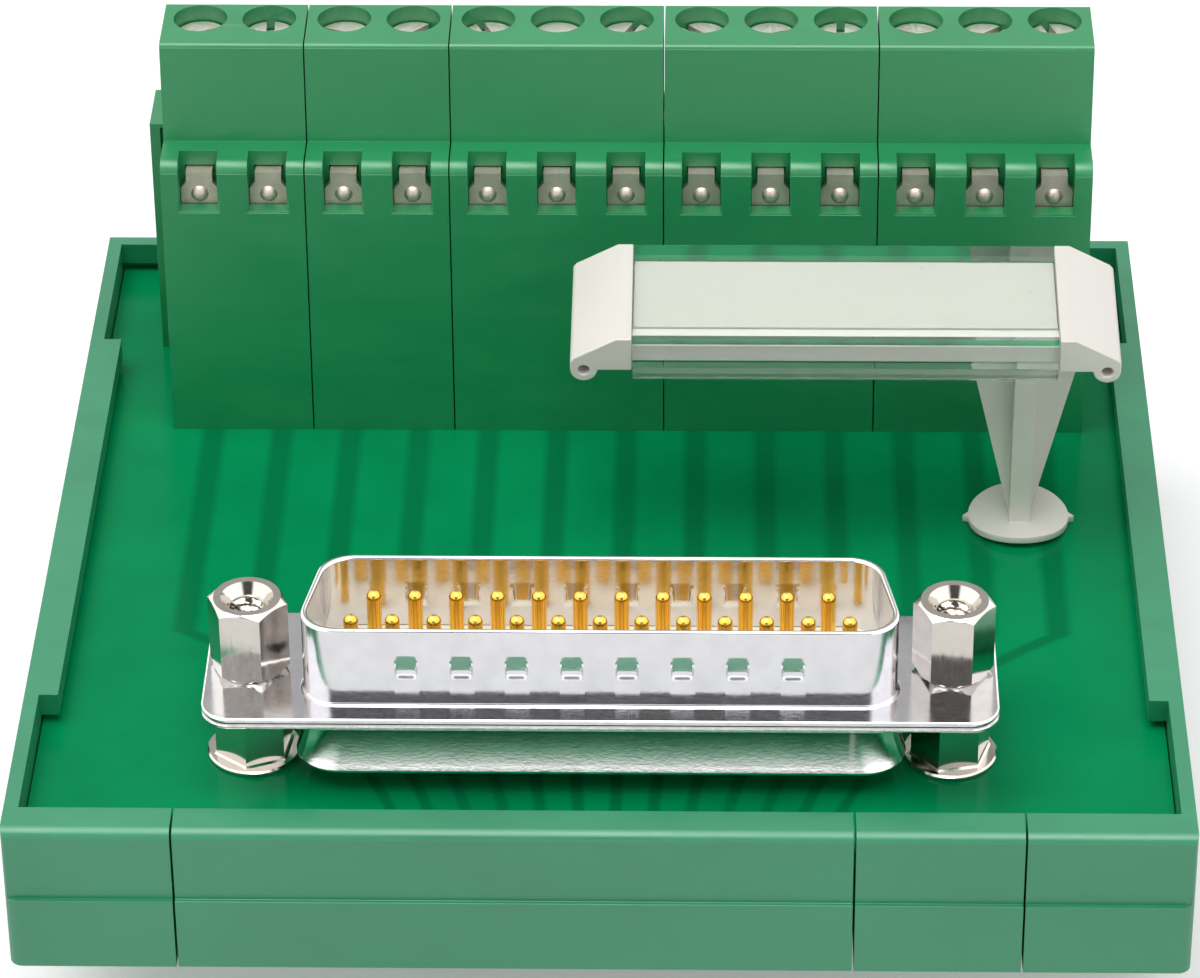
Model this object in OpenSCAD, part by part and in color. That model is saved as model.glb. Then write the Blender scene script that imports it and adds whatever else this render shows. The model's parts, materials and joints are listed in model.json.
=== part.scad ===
// Interface module for a rail: a 25 pole plug connector and double-level screw
// terminal blocks on one circuit board, held in a carrier of moulded elements.
// X runs along the module's width, Y from the plug side to the terminal side, Z up.
// The origin is on the surface under the rail feet, below the middle of the carrier.

/* [Carrier] */
// Depth of the carrier from front face to rear face
carrier_d = 76.5; // [75.5:0.1:78]
// Width of each side element
side_w = 11.25; // [10:0.25:14]
// Width of the wide base element
wide_w = 45; // [44:0.25:50]
// Width of the narrow base element
narrow_w = 11.25; // [10:0.25:14]
// Height of the carrier's walls
wall_h = 11; // [10:0.25:13]
// Thickness of the carrier's floor
floor_t = 1.8; // [1.2:0.1:2.2]
// Thickness of the side walls
side_wall_t = 1; // [0.8:0.1:1.4]
// Width of the rim over the front wall
front_rim_w = 2.7; // [2.2:0.1:3.2]
// Width of the rim over the rear wall
rear_rim_w = 1.6; // [1.2:0.1:2]
// Height of the lips that hold the board down
lip_t = 1.7; // [1.2:0.1:2.4]
// Length of the lips on the side walls
side_lip_l = 45.7; // [30:0.5:56]
// Width of the lips on the side walls, measured from the outer face
side_lip_w = 2.3; // [1.8:0.1:3]
// Gap between neighbouring elements
seam_gap = 0.14; // [0.05:0.01:0.2]
// Height of the lower band of the front and rear faces
band_h = 5.5; // [4:0.25:7]
// How far the lower band stands proud
band_proud = 0.3; // [0.1:0.05:0.45]
// Radius of the pegs that join the elements
peg_r = 0.9; // [0.6:0.05:1]

/* [Rail foot] */
// Height of the rail feet below the walls
foot_h = 11; // [10:0.5:14]
// Width of each rail foot
foot_w = 10; // [8:0.25:10.5]
// Width of the rail that the feet take
rail_w = 35; // [35:0.1:35.4]
// Height of the hooks that reach round the rail
hook_h = 4.6; // [4.2:0.1:5.4]
// Thickness of the rail's edge
rail_edge_t = 1; // [0.9:0.1:1.2]

/* [Board] */
// Thickness of the circuit board
board_t = 1.6; // [1.5:0.1:1.7]
// Height of the rim above the board's upper face
rim_above_board = 2.4; // [2.2:0.1:3.8]

/* [Terminal blocks] */
// Distance between neighbouring poles
pole_pitch = 5; // [4.95:0.01:5.08]
// Poles in each block, from left to right
block_poles = [2, 2, 3, 3, 3];
// Extra width of a block beyond its poles
block_margin = 0.44; // [0.2:0.01:0.5]
// Depth of a block at the board
block_d = 16.8; // [16.4:0.1:18]
// How far the lower terminal level stands to the left of the upper one
level_shift = 1.8; // [1.5:0.05:2.1]
// Height of a block above the board
block_h = 29.6; // [29:0.05:31]
// Height of the ledge with the windows
ledge_h = 22; // [21.9:0.05:22.3]
// Height of the lower terminal level
step_h = 19.4; // [19:0.05:19.6]
// Middle of the row of blocks, to the right of the carrier's middle
blocks_x = 1.06; // [0:0.01:1.5]
// Distance from the front face to the foot of the blocks
blocks_y = 52.45; // [52:0.05:54.6]
// Radius of the shafts that lead to the screws
shaft_r = 1.95; // [1.9:0.01:2]
// Width of the windows that show the contacts
window_w = 2.8; // [2.7:0.05:2.9]

/* [Terminal screws] */
// Radius of a screw's head
head_r = 1.8; // [1.7:0.01:1.85]
// Height of a screw's head
head_h = 1.4; // [1.2:0.05:1.5]
// Radius of a screw's shank
shank_r = 1.3; // [1.2:0.01:1.5]
// Travel of a wire clamp on its screw
clamp_travel = 2.2; // [2:0.05:2.2]
// Thickness of the current bars
bar_t = 0.9; // [0.8:0.05:1]

/* [Plug connector] */
// Distance from the front face to the middle of the plug
plug_y = 12.5; // [12:0.1:16]
// Number of pins in the long row
pins_long = 13; // [13:1:13]
// Distance between pins in a row
pin_pitch = 2.76; // [2.7:0.01:2.77]
// Distance between the rows of pins
row_pitch = 2.84; // [2.7:0.01:3]
// Radius of a pin
pin_r = 0.5; // [0.4:0.01:0.55]
// Length of the flange beyond a jackscrew's axis
flange_end = 3; // [2.8:0.05:3.4]
// Depth of the flange
flange_d = 12.5; // [12.3:0.1:12.8]
// Distance from the end of the plug's shell to a jackscrew's axis
jack_margin = 3.67; // [3.5:0.01:3.9]
// Height of the flange's upper face above the board
flange_z = 7.05; // [6.8:0.05:9]
// Width of the plug's shell
shell_w = 39.7; // [39.4:0.05:40]
// Depth of the plug's shell
shell_d = 9; // [8.8:0.05:9.2]
// Height of the plug's shell above the flange
shell_h = 6; // [5.6:0.05:6.6]
// Thickness of the shell's sheet
sheet_t = 0.42; // [0.35:0.01:0.45]
// Width of the hexagons across their flats
hex_af = 4.75; // [4.6:0.05:4.8]
// Height of the jackscrews above the flange
jack_h = 5.6; // [5:0.05:6]

/* [Marker] */
// Middle of the stand's foot, to the right of the carrier's middle
stand_x = 29.4; // [28:0.05:30]
// Distance from the front face to the middle of the stand's foot
stand_y = 40.7; // [40:0.1:44]
// Radius of the stand's foot
stand_foot_r = 3.6; // [3.4:0.05:4.2]
// Middle of the marker, to the left of the stand
marker_shift = 12.8; // [12:0.05:12.8]
// Length of the clear cover
cover_l = 29.7; // [29.4:0.1:30]
// Width of the clear cover
cover_w = 11.2; // [11:0.1:11.6]
// Height of the clear cover
cover_h = 3.1; // [3:0.1:3.4]
// Angle at which the marker leans forward
marker_tilt = 7; // [6:0.5:8]
// Height of the middle of the marker's underside above the board
marker_z = 16.2; // [15.7:0.05:16.6]

/* [Hidden] */
$fn = 48;
carrier_w = 2 * side_w + wide_w + narrow_w;
half_w = carrier_w / 2;
seam_1 = -half_w + side_w;
seam_2 = seam_1 + wide_w;
seam_3 = seam_2 + narrow_w;
// Moves a distance from the front face into the frame
front_y = -carrier_d / 2;
rear_y = carrier_d / 2;
rim_z = foot_h + wall_h;
board_z = rim_z - rim_above_board;
floor_z = foot_h + floor_t;
front_wall_t = 1.5;
rear_wall_t = 0.9;
board_gap = 0.1;
board_x = half_w - side_wall_t - board_gap;
board_front = front_y + front_wall_t + board_gap;
board_rear = rear_y - rear_wall_t - board_gap;
seat_w = 2.4;
rim_round = 0.7;
corner_r = 0.9;
fit_gap = 0.06;
peg_l = 3;
peg_y = front_wall_t + seat_w / 2;
peg_z = (floor_z + board_z - board_t) / 2;
eps = 0.01;

// Rail feet
rail_gap = 0.15;
foot_x = [seam_1 + 8.5, (seam_2 + seam_3) / 2];
hook_reach = 1.5;
hook_t = 3;
guide_w = 1.6;
guide_gap = 0.05;
seat_relief = 0.15;
seat_edge = 0.3;

// Terminal blocks
block_count = len(block_poles);
poles = sum_to(block_count);
block_foot_y = front_y + blocks_y;
row_w = poles * pole_pitch + block_count * block_margin;
row_x = blocks_x - row_w / 2;
block_gap = 0.1;
lean = 1;
ledge_y = 4.4;
top_front_y = 5.05;
// Here the upper level ends and the lower one begins
level_y = 11.35;
edge_r = 0.8;
top_edge_r = 0.3;
upper_screw_y = 9;
lower_screw_y = 14.35;
chamber_w = 4.2;
chamber_d = 3.8;
clamp_w = 4;
clamp_d = 3.4;
clamp_wall = 0.5;
clamp_top_t = 1.2;
clamp_base_t = 1;
clamp_gap = 0.12;
head_gap = 0.1;
slot_w = 0.6;
slot_d = 0.7;
head_sink = 1.25;
upper_bar_z = block_h - head_sink - head_h - clamp_travel - clamp_top_t - head_gap - clamp_gap;
lower_bar_z = step_h - head_sink - head_h - clamp_travel - clamp_top_t - head_gap - clamp_gap;
bar_w = 2.2;
bar_end = 1.5;
leg_t = 0.5;
pin_w = 0.9;
pin_hole_r = 0.65;
tail_l = 2.4;
space_gap = 0.1;
// The upper contact: a plate behind the window, an arm, a riser and the bar
plate_y = 2.1;
plate_w = window_w - 0.1;
plate_low = 17.4;
plate_top = 20.7;
neck_w = 1.9;
neck_h = 0.8;
flare_h = 0.5;
dome_r = 0.75;
dome_rise = 0.35;
riser_y = 5.7;
lower_pin_y = 12.1;
window_low = 18.15;
window_back = 3.05;
window_bevel = 0.12;
port_w = 3.4;
port_h = 3.2;
// Recess in the front of the lower level, where it stands out on the left
pocket_low = 17.2;
pocket_lip = 0.3;
pocket_rib = 0.75;
pocket_d = 0.9;

// Plug connector
plug_mid = front_y + plug_y;
jack_spacing = shell_w + 2 * jack_margin;
flange_w = jack_spacing + 2 * flange_end;
flange_t = 2 * sheet_t;
flange_top = board_z + flange_z;
shell_top = flange_top + shell_h;
shell_r = 2.3;
shell_slope = 10;
skirt_r = 0.9;
rear_step_w = 0.65;
rear_step_d = 0.8;
rear_shell_w = shell_w + 2 * rear_step_w;
rear_shell_d = shell_d + 2 * rear_step_d;
rear_shell_drop = 4.4;
insulator_rise = 0.5;
insulator_gap = 0.05;
pin_rise = 4.6;
pin_tail = 2.6;
dent_count = 8;
dent_pitch = 3.65;
dent_w = 1.4;
dent_h = 1.9;
dent_depth = 0.3;
dent_z = 3.05;
jack_hole_r = 1.55;
stud_r = 1.4;
thread_r = 1.15;
spacer_disc_r = 3.2;
spacer_disc_t = 0.4;
// Each hexagon stands as it was tightened: left one, right one
jack_turn = [-9, -4.5];
spacer_turn = [22, 12];

// Marker
marker_x = stand_x - marker_shift;
stand_mid = front_y + stand_y;
stand_foot_t = 0.5;
stand_foot_rise = 0.5;
stand_tip = 0.4;
stand_peg_r = 1.4;
wing_t = 1.2;
rib_w = 1.5;
rib_low_d = 3;
rib_top_d = 5.4;
wing_top = 8.8;
wing_low = 1.2;
end_l = 4.3;
end_flat = 1.1;
end_low = 0.6;
end_step = 0.25;
shoulder_z = 1.55;
stand_gap = 0.05;
cover_gap = 0.05;
cover_t = 0.5;
front_strip_w = 1.3;
rear_strip_w = 1.4;
cover_hook = 0.8;
label_front = 1;
label_t = 0.3;
label_z = cover_h - cover_t - label_t - 0.1;
plate_t = 1.25;
plate_z = label_z - plate_t;
plate_front = -cover_w / 2 + front_strip_w + cover_gap;
plate_rear = cover_w / 2 - rear_strip_w - cover_gap;
lug_r = 0.95;
lug_hole_r = 0.4;

SIDE_NAMES = ["left", "right"];

// Poles in the first blocks, as many as are asked for
function sum_to(count) = count == 0 ? 0 : block_poles[count - 1] + sum_to(count - 1);
// Left edge of a block, counted from 0
function block_x(b) = row_x + sum_to(b) * pole_pitch + b * block_margin;
function block_w(b) = block_poles[b] * pole_pitch + block_margin;
// Block that holds a pole, both counted from 0
function block_of(p, b = 0) = p < sum_to(b + 1) ? b : block_of(p, b + 1);
function pole_in_block(i) = block_margin / 2 + (i + 0.5) * pole_pitch;
function pole_x(p) = block_x(block_of(p)) + pole_in_block(p - sum_to(block_of(p)));
// How far pin i of a row with count pins lies from the middle
function pin_x(i, count) = (i - (count - 1) / 2) * pin_pitch;

// Draws a Y-Z outline along X from x0 to x1
module along_x(x0, x1) {
    translate([x0, 0, 0])
        rotate([90, 0, 90])
            linear_extrude(x1 - x0) children();
}

// A block of material between two corners
module slab(low, high) {
    translate(low) cube(high - low);
}

// Places its children at both jackscrews, turned by the left and the right angle
module at_jacks(turn = [0, 0]) {
    for (i = [0, 1])
        translate([(i - 0.5) * jack_spacing, plug_mid, 0]) rotate(turn[i]) children();
}

// CARRIER

// Outer outline of the carrier from the side, with rounded upper edges
module carrier_outline() {
    difference() {
        union() {
            translate([front_y, foot_h]) square([carrier_d, wall_h]);
            translate([front_y - band_proud, foot_h])
                square([carrier_d + 2 * band_proud, band_h]);
        }
        for (side = [0, 1]) mirror([side, 0])
            translate([front_y, rim_z]) rim_corner();
    }
}

// Section of the carrier: two walls, a floor, board seats and hold-down lips
module carrier_section() {
    difference() {
        carrier_outline();
        // Inside above the floor, between the walls
        translate([front_y + front_wall_t, floor_z])
            square([carrier_d - front_wall_t - rear_wall_t, wall_h]);
    }
    // Seats under the board
    translate([front_y + front_wall_t - eps, floor_z - eps])
        square([seat_w, board_z - board_t - floor_z + eps]);
    translate([rear_y - rear_wall_t - seat_w, floor_z - eps])
        square([seat_w + eps, board_z - board_t - floor_z + eps]);
    // Lips over the board
    translate([front_y + front_wall_t - eps, rim_z - lip_t])
        square([front_rim_w - front_wall_t + eps, lip_t]);
    translate([rear_y - rear_rim_w, rim_z - lip_t])
        square([rear_rim_w - rear_wall_t + eps, lip_t]);
}

// What is cut away to round an upper outer edge
module rim_corner() {
    difference() {
        translate([-eps, -rim_round]) square([rim_round + eps, rim_round + eps]);
        translate([rim_round, -rim_round]) circle(rim_round);
    }
}

module carrier_piece(x0, x1) {
    along_x(x0 + seam_gap / 2, x1 - seam_gap / 2) carrier_section();
}

// Pegs stand out of an element's left face at x and seat in its neighbour's bores
module pegs(x, radius, length) {
    for (y = [front_y + peg_y, rear_y - rear_wall_t - seat_w / 2])
        translate([x - length, y, peg_z]) rotate([0, 90, 0])
            cylinder(r = radius, h = length + seam_gap + 0.5);
}

module peg_bores(x) {
    pegs(x, peg_r + fit_gap, peg_l + 0.3);
}

// Slots under the floor that take a foot's guide ribs
module guide_slots(x) {
    for (side = [-1, 1])
        slab([x - foot_w / 2 - guide_gap, side * foot_guide_y() - guide_w / 2 - guide_gap, foot_h - eps],
             [x + foot_w / 2 + guide_gap, side * foot_guide_y() + guide_w / 2 + guide_gap,
              foot_h + floor_t - 0.6]);
}

function foot_guide_y() = rail_w / 2 - 5;

// A side element: wall, lip over the board and rounded outer corners
module side_element(mirrored) {
    color("mediumseagreen") mirror([mirrored, 0, 0]) difference() {
        union() {
            along_x(-half_w, seam_1 - seam_gap / 2) carrier_section();
            along_x(-half_w, -half_w + side_wall_t) carrier_outline();
            slab([-half_w, -side_lip_l / 2, rim_z - lip_t],
                 [-half_w + side_lip_w, side_lip_l / 2, rim_z]);
            slab([-half_w, front_y + front_wall_t, floor_z - eps],
                 [-half_w + seat_w, rear_y - rear_wall_t, board_z - board_t]);
        }
        for (side = [-1, 1]) side_corner(side);
        peg_bores_of_side(mirrored);
    }
}

// The left element has bores, the right one carries pegs
module peg_bores_of_side(mirrored) {
    if (mirrored == 0) peg_bores(seam_1 + eps);
}

// Rounds one upright outer corner and the band below it
module side_corner(side) {
    y_out = carrier_d / 2 + band_proud;
    translate([-half_w, side * y_out, foot_h - eps])
        difference() {
            translate([-eps, side > 0 ? -corner_r : -eps, 0])
                cube([corner_r + eps, corner_r + eps, wall_h + 2 * eps]);
            translate([corner_r, -side * corner_r, -eps])
                cylinder(r = corner_r, h = wall_h + 4 * eps);
        }
}

module side_element_left() {
    side_element(0);
}

module side_element_right() {
    side_element(1);
    color("mediumseagreen") pegs(seam_3 + eps, peg_r, peg_l);
}

module base_element_wide() {
    color("mediumseagreen") {
        difference() {
            carrier_piece(seam_1, seam_2);
            peg_bores(seam_2 + eps);
            guide_slots(foot_x[0]);
        }
        pegs(seam_1 + eps, peg_r, peg_l);
    }
}

module base_element_narrow() {
    color("mediumseagreen") {
        difference() {
            carrier_piece(seam_2, seam_3);
            peg_bores(seam_3 + eps);
            guide_slots(foot_x[1]);
        }
        pegs(seam_2 + eps, peg_r, peg_l);
    }
}

// RAIL FEET

// Outline of a foot: a fixed hook in front, a springing hook behind with a pull tab
module foot_outline() {
    inner = rail_w / 2 + rail_gap;
    body = inner + hook_t;
    seat_z = hook_h;
    tab = 3;
    difference() {
        translate([-body, 0]) square([2 * body, foot_h]);
        // Space between the hooks, for the rail
        translate([-inner + hook_reach, -eps])
            square([2 * (inner - hook_reach), seat_z + eps]);
        // Grooves for the rail's edges
        translate([-inner, seat_z - rail_edge_t - rail_gap])
            square([2 * inner, rail_edge_t + rail_gap]);
        // The seat stands clear of the hooks' tips
        for (side = [0, 1]) mirror([side, 0])
            translate([inner - hook_reach - seat_edge, seat_z - eps])
                square([hook_reach + seat_edge, seat_relief + eps]);
        // Slanted lead-in of the springing hook
        polygon([[inner - hook_reach - eps, -eps], [inner - hook_reach - eps, 1.2],
                 [inner + 0.4, -eps]]);
        // Slot that lets the rear hook spring
        translate([inner - 8, foot_h - 3.4]) square([body - inner + 8 - 1.3, 0.9]);
        translate([body - 2.2, seat_z + 1.4]) square([0.9, foot_h - seat_z - 3.9]);
        // Openings that keep the walls thin
        for (y = [-13, -4.5, 4]) translate([y, seat_z + 1.6])
            square([7, foot_h - seat_z - 3.2]);
    }
    // Tab with a slot for a screwdriver blade
    translate([body - eps, 0]) difference() {
        square([tab, 3.4]);
        translate([0.8, 1.2]) square([tab, 1]);
    }
}

module rail_foot(i) {
    color("seagreen") {
        along_x(foot_x[i] - foot_w / 2, foot_x[i] + foot_w / 2) foot_outline();
        for (side = [-1, 1])
            slab([foot_x[i] - foot_w / 2, side * foot_guide_y() - guide_w / 2, foot_h - eps],
                 [foot_x[i] + foot_w / 2, side * foot_guide_y() + guide_w / 2,
                  foot_h + floor_t - 0.7]);
    }
}

// BOARD

module circuit_board() {
    color("green") difference() {
        slab([-board_x, board_front, board_z - board_t], [board_x, board_rear, board_z]);
        translate([0, 0, board_z - board_t - eps]) board_holes(board_t + 2 * eps);
    }
}

module board_holes(depth) {
    for (p = [0:poles - 1]) translate([pole_x(p), block_foot_y, 0]) {
        translate([0, plate_y + leg_t / 2, 0]) cylinder(r = pin_hole_r, h = depth, $fn = 24);
        translate([-level_shift, lower_pin_y, 0]) cylinder(r = pin_hole_r, h = depth, $fn = 24);
    }
    at_pins() cylinder(r = pin_tail_r() + 0.12, h = depth, $fn = 24);
    at_jacks() cylinder(r = jack_hole_r, h = depth);
    translate([stand_x, stand_mid, 0]) cylinder(r = stand_peg_r + 0.05, h = depth);
}

// TERMINAL BLOCKS

// Outline of a block's upper level from the side: Y back from its foot, Z up from the board
module upper_outline() {
    rear = level_y - block_gap / 2;
    difference() {
        polygon([[0, 0], [lean, ledge_h], [ledge_y, ledge_h], [top_front_y, block_h],
                 [rear, block_h], [rear, 0]]);
        translate([lean, ledge_h]) outline_corner(edge_r);
        translate([top_front_y, block_h]) outline_corner(top_edge_r);
        translate([rear, block_h]) mirror([1, 0]) outline_corner(top_edge_r);
    }
}

module lower_outline() {
    front = level_y + block_gap / 2;
    difference() {
        translate([front, 0]) square([block_d - front, step_h]);
        translate([block_d, step_h]) mirror([1, 0]) outline_corner(top_edge_r);
    }
}

module outline_corner(radius) {
    difference() {
        translate([-radius, -radius]) square(2 * radius);
        translate([-radius, -3 * radius]) square([3 * radius, 2 * radius]);
        translate([radius, -radius]) circle(radius);
        translate([radius, -radius]) square(2 * radius);
    }
}

// Everything that an upper pole removes from its housing
module upper_cuts() {
    translate([0, upper_screw_y, upper_bar_z]) cylinder(r = shaft_r, h = block_h);
    clamp_chamber(upper_screw_y, upper_bar_z);
    wire_port(level_y, upper_screw_y, upper_bar_z);
    contact_window();
    upper_contact_space();
}

module lower_cuts() {
    translate([0, lower_screw_y, lower_bar_z]) cylinder(r = shaft_r, h = block_h);
    clamp_chamber(lower_screw_y, lower_bar_z);
    wire_port(block_d, lower_screw_y, lower_bar_z);
    lower_contact_space();
}

// A clamp's chamber reaches from the open clamp's base to the closed clamp's top
module clamp_chamber(y, bar_z) {
    slab([-chamber_w / 2, y - chamber_d / 2, clamp_base_z(bar_z) - 0.1],
         [chamber_w / 2, y + chamber_d / 2, bar_z + clamp_gap + clamp_top_t + clamp_travel + head_gap]);
}

function clamp_base_z(bar_z) = bar_z - bar_t - clamp_travel - clamp_base_t;

// Funnel and throat of a wire entry
module wire_port(face_y, screw_y, bar_z) {
    mid_z = bar_z - bar_t - clamp_travel / 2;
    translate([0, face_y + eps, mid_z]) rotate([90, 0, 0]) {
        linear_extrude(face_y - screw_y) round_port(port_w - 0.8, clamp_travel);
        linear_extrude(0.5) round_port(port_w, port_h);
    }
}

module round_port(w, h) {
    r = 0.6;
    square([w - 2 * r, h], center = true);
    square([w, h - 2 * r], center = true);
    for (x = [-1, 1], y = [-1, 1])
        translate([x * (w / 2 - r), y * (h / 2 - r)]) circle(r, $fn = 24);
}

// Window in the ledge and the face below it, with a bevelled edge
module contact_window() {
    slab([-window_w / 2, -1, window_low], [window_w / 2, window_back, ledge_h + 1]);
    bevel_y = lean * window_low / ledge_h + window_bevel / 2;
    slab([-window_w / 2 - window_bevel, -1, window_low - window_bevel],
         [window_w / 2 + window_bevel, bevel_y, ledge_h + 1]);
}

// Space for the upper contact: plate, arm, riser, bar and pin
module upper_contact_space() {
    wide = bar_w / 2 + space_gap;
    arm_low = plate_top - leg_t - space_gap;
    riser_rear = riser_y + leg_t + space_gap;
    slab([-plate_w / 2 - space_gap, plate_y - space_gap, plate_low - space_gap],
         [plate_w / 2 + space_gap, plate_y + leg_t + space_gap, plate_top + space_gap]);
    slab([-neck_w / 2 - space_gap, plate_y, arm_low],
         [neck_w / 2 + space_gap, riser_rear, plate_top + space_gap]);
    slab([-wide, riser_y - space_gap, arm_low], [wide, riser_rear, upper_bar_z + space_gap]);
    slab([-wide, riser_y - space_gap, upper_bar_z - bar_t - space_gap],
         [wide, upper_screw_y, upper_bar_z + space_gap]);
    slab([-pin_w / 2 - space_gap, plate_y - space_gap, -1],
         [pin_w / 2 + space_gap, plate_y + leg_t + space_gap, plate_low]);
}

module lower_contact_space() {
    wide = bar_w / 2 + space_gap;
    front = lower_pin_y - leg_t / 2 - space_gap;
    slab([-wide, front, lower_bar_z - bar_t - leg_t - space_gap],
         [wide, lower_screw_y, lower_bar_z + space_gap]);
    slab([-pin_w / 2 - space_gap, front, -1],
         [pin_w / 2 + space_gap, lower_pin_y + leg_t / 2 + space_gap, lower_bar_z - bar_t]);
}

// One moulding: the lower level is set to the left and joins the upper one where they overlap
module terminal_housing(b) {
    left = block_gap / 2;
    right = block_w(b) - block_gap / 2;
    color("mediumseagreen") translate([block_x(b), block_foot_y, board_z]) difference() {
        union() {
            along_x(left, right) upper_outline();
            along_x(left - level_shift, right - level_shift) lower_outline();
            slab([left, level_y - block_gap, 0],
                 [right - level_shift, level_y + block_gap, step_h]);
        }
        for (i = [0:block_poles[b] - 1]) translate([pole_in_block(i), 0, 0]) {
            upper_cuts();
            translate([-level_shift, 0, 0]) lower_cuts();
        }
        slab([left - level_shift + pocket_rib, level_y, pocket_low],
             [0, level_y + block_gap / 2 + pocket_d, step_h - pocket_lip]);
    }
}

// Cage of a clamp, open: the wire goes between its base and the current bar
module wire_clamp(y, bar_z) {
    top_z = bar_z + clamp_gap;
    difference() {
        slab([-clamp_w / 2, y - clamp_d / 2, clamp_base_z(bar_z)],
             [clamp_w / 2, y + clamp_d / 2, top_z + clamp_top_t]);
        slab([-clamp_w / 2 + clamp_wall, y - clamp_d, clamp_base_z(bar_z) + clamp_base_t],
             [clamp_w / 2 - clamp_wall, y + clamp_d, top_z]);
        translate([0, y, top_z - eps]) cylinder(r = shank_r + fit_gap, h = clamp_top_t + 1);
    }
}

module wire_clamps(b) {
    color("silver") for (i = [0:block_poles[b] - 1])
        translate([block_x(b) + pole_in_block(i), block_foot_y, board_z]) {
            wire_clamp(upper_screw_y, upper_bar_z);
            translate([-level_shift, 0, 0]) wire_clamp(lower_screw_y, lower_bar_z);
        }
}

// Current bar of the upper level: it steps down behind the window and ends in a pin
module upper_contact() {
    bar_low = upper_bar_z - bar_t;
    bar_rear = upper_screw_y + bar_end;
    arm_low = plate_top - leg_t;
    along_x(-bar_w / 2, bar_w / 2)
        polygon([[bar_rear, upper_bar_z], [riser_y, upper_bar_z], [riser_y, arm_low],
                 [riser_y + leg_t, arm_low], [riser_y + leg_t, bar_low], [bar_rear, bar_low]]);
    slab([-neck_w / 2, plate_y, arm_low], [neck_w / 2, riser_y + leg_t, plate_top]);
    translate([0, plate_y + leg_t, 0]) rotate([90, 0, 0]) linear_extrude(leg_t) plate_outline();
    slab([-pin_w / 2, plate_y, -board_t - tail_l], [pin_w / 2, plate_y + leg_t, plate_low + eps]);
    // Pressed dome of the contact, seen in the window
    intersection() {
        translate([0, plate_y + dome_r - dome_rise, window_low + dome_r + 0.05])
            sphere(r = dome_r, $fn = 24);
        slab([-plate_w / 2, 0, window_low], [plate_w / 2, plate_y + leg_t - eps, plate_top]);
    }
}

// Front of the plate in the window: a neck that flares to the window's width
module plate_outline() {
    neck_low = plate_top - neck_h;
    polygon([[-neck_w / 2, plate_top], [neck_w / 2, plate_top], [neck_w / 2, neck_low],
             [plate_w / 2, neck_low - flare_h], [plate_w / 2, plate_low],
             [-plate_w / 2, plate_low], [-plate_w / 2, neck_low - flare_h], [-neck_w / 2, neck_low]]);
}

module lower_contact() {
    bar_low = lower_bar_z - bar_t;
    bar_rear = lower_screw_y + bar_end;
    front = lower_pin_y - leg_t / 2;
    along_x(-bar_w / 2, bar_w / 2)
        polygon([[bar_rear, lower_bar_z], [front, lower_bar_z], [front, bar_low - leg_t],
                 [front + leg_t, bar_low - leg_t], [front + leg_t, bar_low], [bar_rear, bar_low]]);
    slab([-pin_w / 2, front, -board_t - tail_l], [pin_w / 2, front + leg_t, bar_low - leg_t + eps]);
}

module upper_contacts() {
    color("silver") for (p = [0:poles - 1])
        translate([pole_x(p), block_foot_y, board_z]) upper_contact();
}

module lower_contacts() {
    color("silver") for (p = [0:poles - 1])
        translate([pole_x(p) - level_shift, block_foot_y, board_z]) lower_contact();
}

// Slotted screw of a clamp; its tip bears on the current bar
module terminal_screw(x, y, bar_z, turn) {
    tip_z = board_z + bar_z + clamp_gap / 2;
    under_head = board_z + bar_z + clamp_gap + clamp_top_t + clamp_travel + head_gap;
    color("gainsboro") translate([x, block_foot_y + y, 0]) difference() {
        union() {
            translate([0, 0, tip_z]) cylinder(r = shank_r, h = under_head - tip_z + eps);
            translate([0, 0, under_head]) cylinder(r = head_r, h = head_h);
        }
        translate([0, 0, under_head + head_h - slot_d]) rotate(turn)
            translate([-head_r - 1, -slot_w / 2, 0]) cube([2 * head_r + 2, slot_w, slot_d + 1]);
    }
}

// Each screw's slot stands as it was left
function slot_turn(p) = (p * 67 + 25) % 180;

module upper_screw(p) {
    terminal_screw(pole_x(p), upper_screw_y, upper_bar_z, slot_turn(p));
}

module lower_screw(p) {
    terminal_screw(pole_x(p) - level_shift, lower_screw_y, lower_bar_z, slot_turn(p + 4));
}

// PLUG CONNECTOR

function pin_tail_r() = 0.32;

// Outline of the plug: wide side to the front, rounded corners, slanted ends
module plug_outline(w, d, r) {
    tilt = [cos(shell_slope), sin(shell_slope)];
    b = d / 2 - r;
    wide = w / 2 - r * (1 + sin(shell_slope)) / cos(shell_slope) + r * tan(shell_slope);
    narrow = wide - 2 * b * tan(shell_slope);
    for (side = [-1, 1]) {
        translate([side * wide, -b]) circle(r);
        translate([side * narrow, b]) circle(r);
    }
    polygon([[-wide, -b - r], [wide, -b - r],
             [wide + r * tilt[0], -b + r * tilt[1]], [narrow + r * tilt[0], b + r * tilt[1]],
             [narrow, b + r], [-narrow, b + r],
             [-narrow - r * tilt[0], b + r * tilt[1]], [-wide - r * tilt[0], -b + r * tilt[1]]]);
}

// A prism of the plug's outline from z0 to z1
module plug_prism(w, d, r, z0, z1) {
    translate([0, plug_mid, z0]) linear_extrude(z1 - z0) plug_outline(w, d, r);
}

module flange_plate(z0) {
    r = 2;
    difference() {
        translate([0, plug_mid, z0]) linear_extrude(sheet_t) {
            square([flange_w - 2 * r, flange_d], center = true);
            square([flange_w, flange_d - 2 * r], center = true);
            for (x = [-1, 1], y = [-1, 1])
                translate([x * (flange_w / 2 - r), y * (flange_d / 2 - r)]) circle(r);
        }
        translate([0, 0, z0 - eps]) at_jacks() cylinder(r = jack_hole_r, h = sheet_t + 2 * eps);
    }
}

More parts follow.
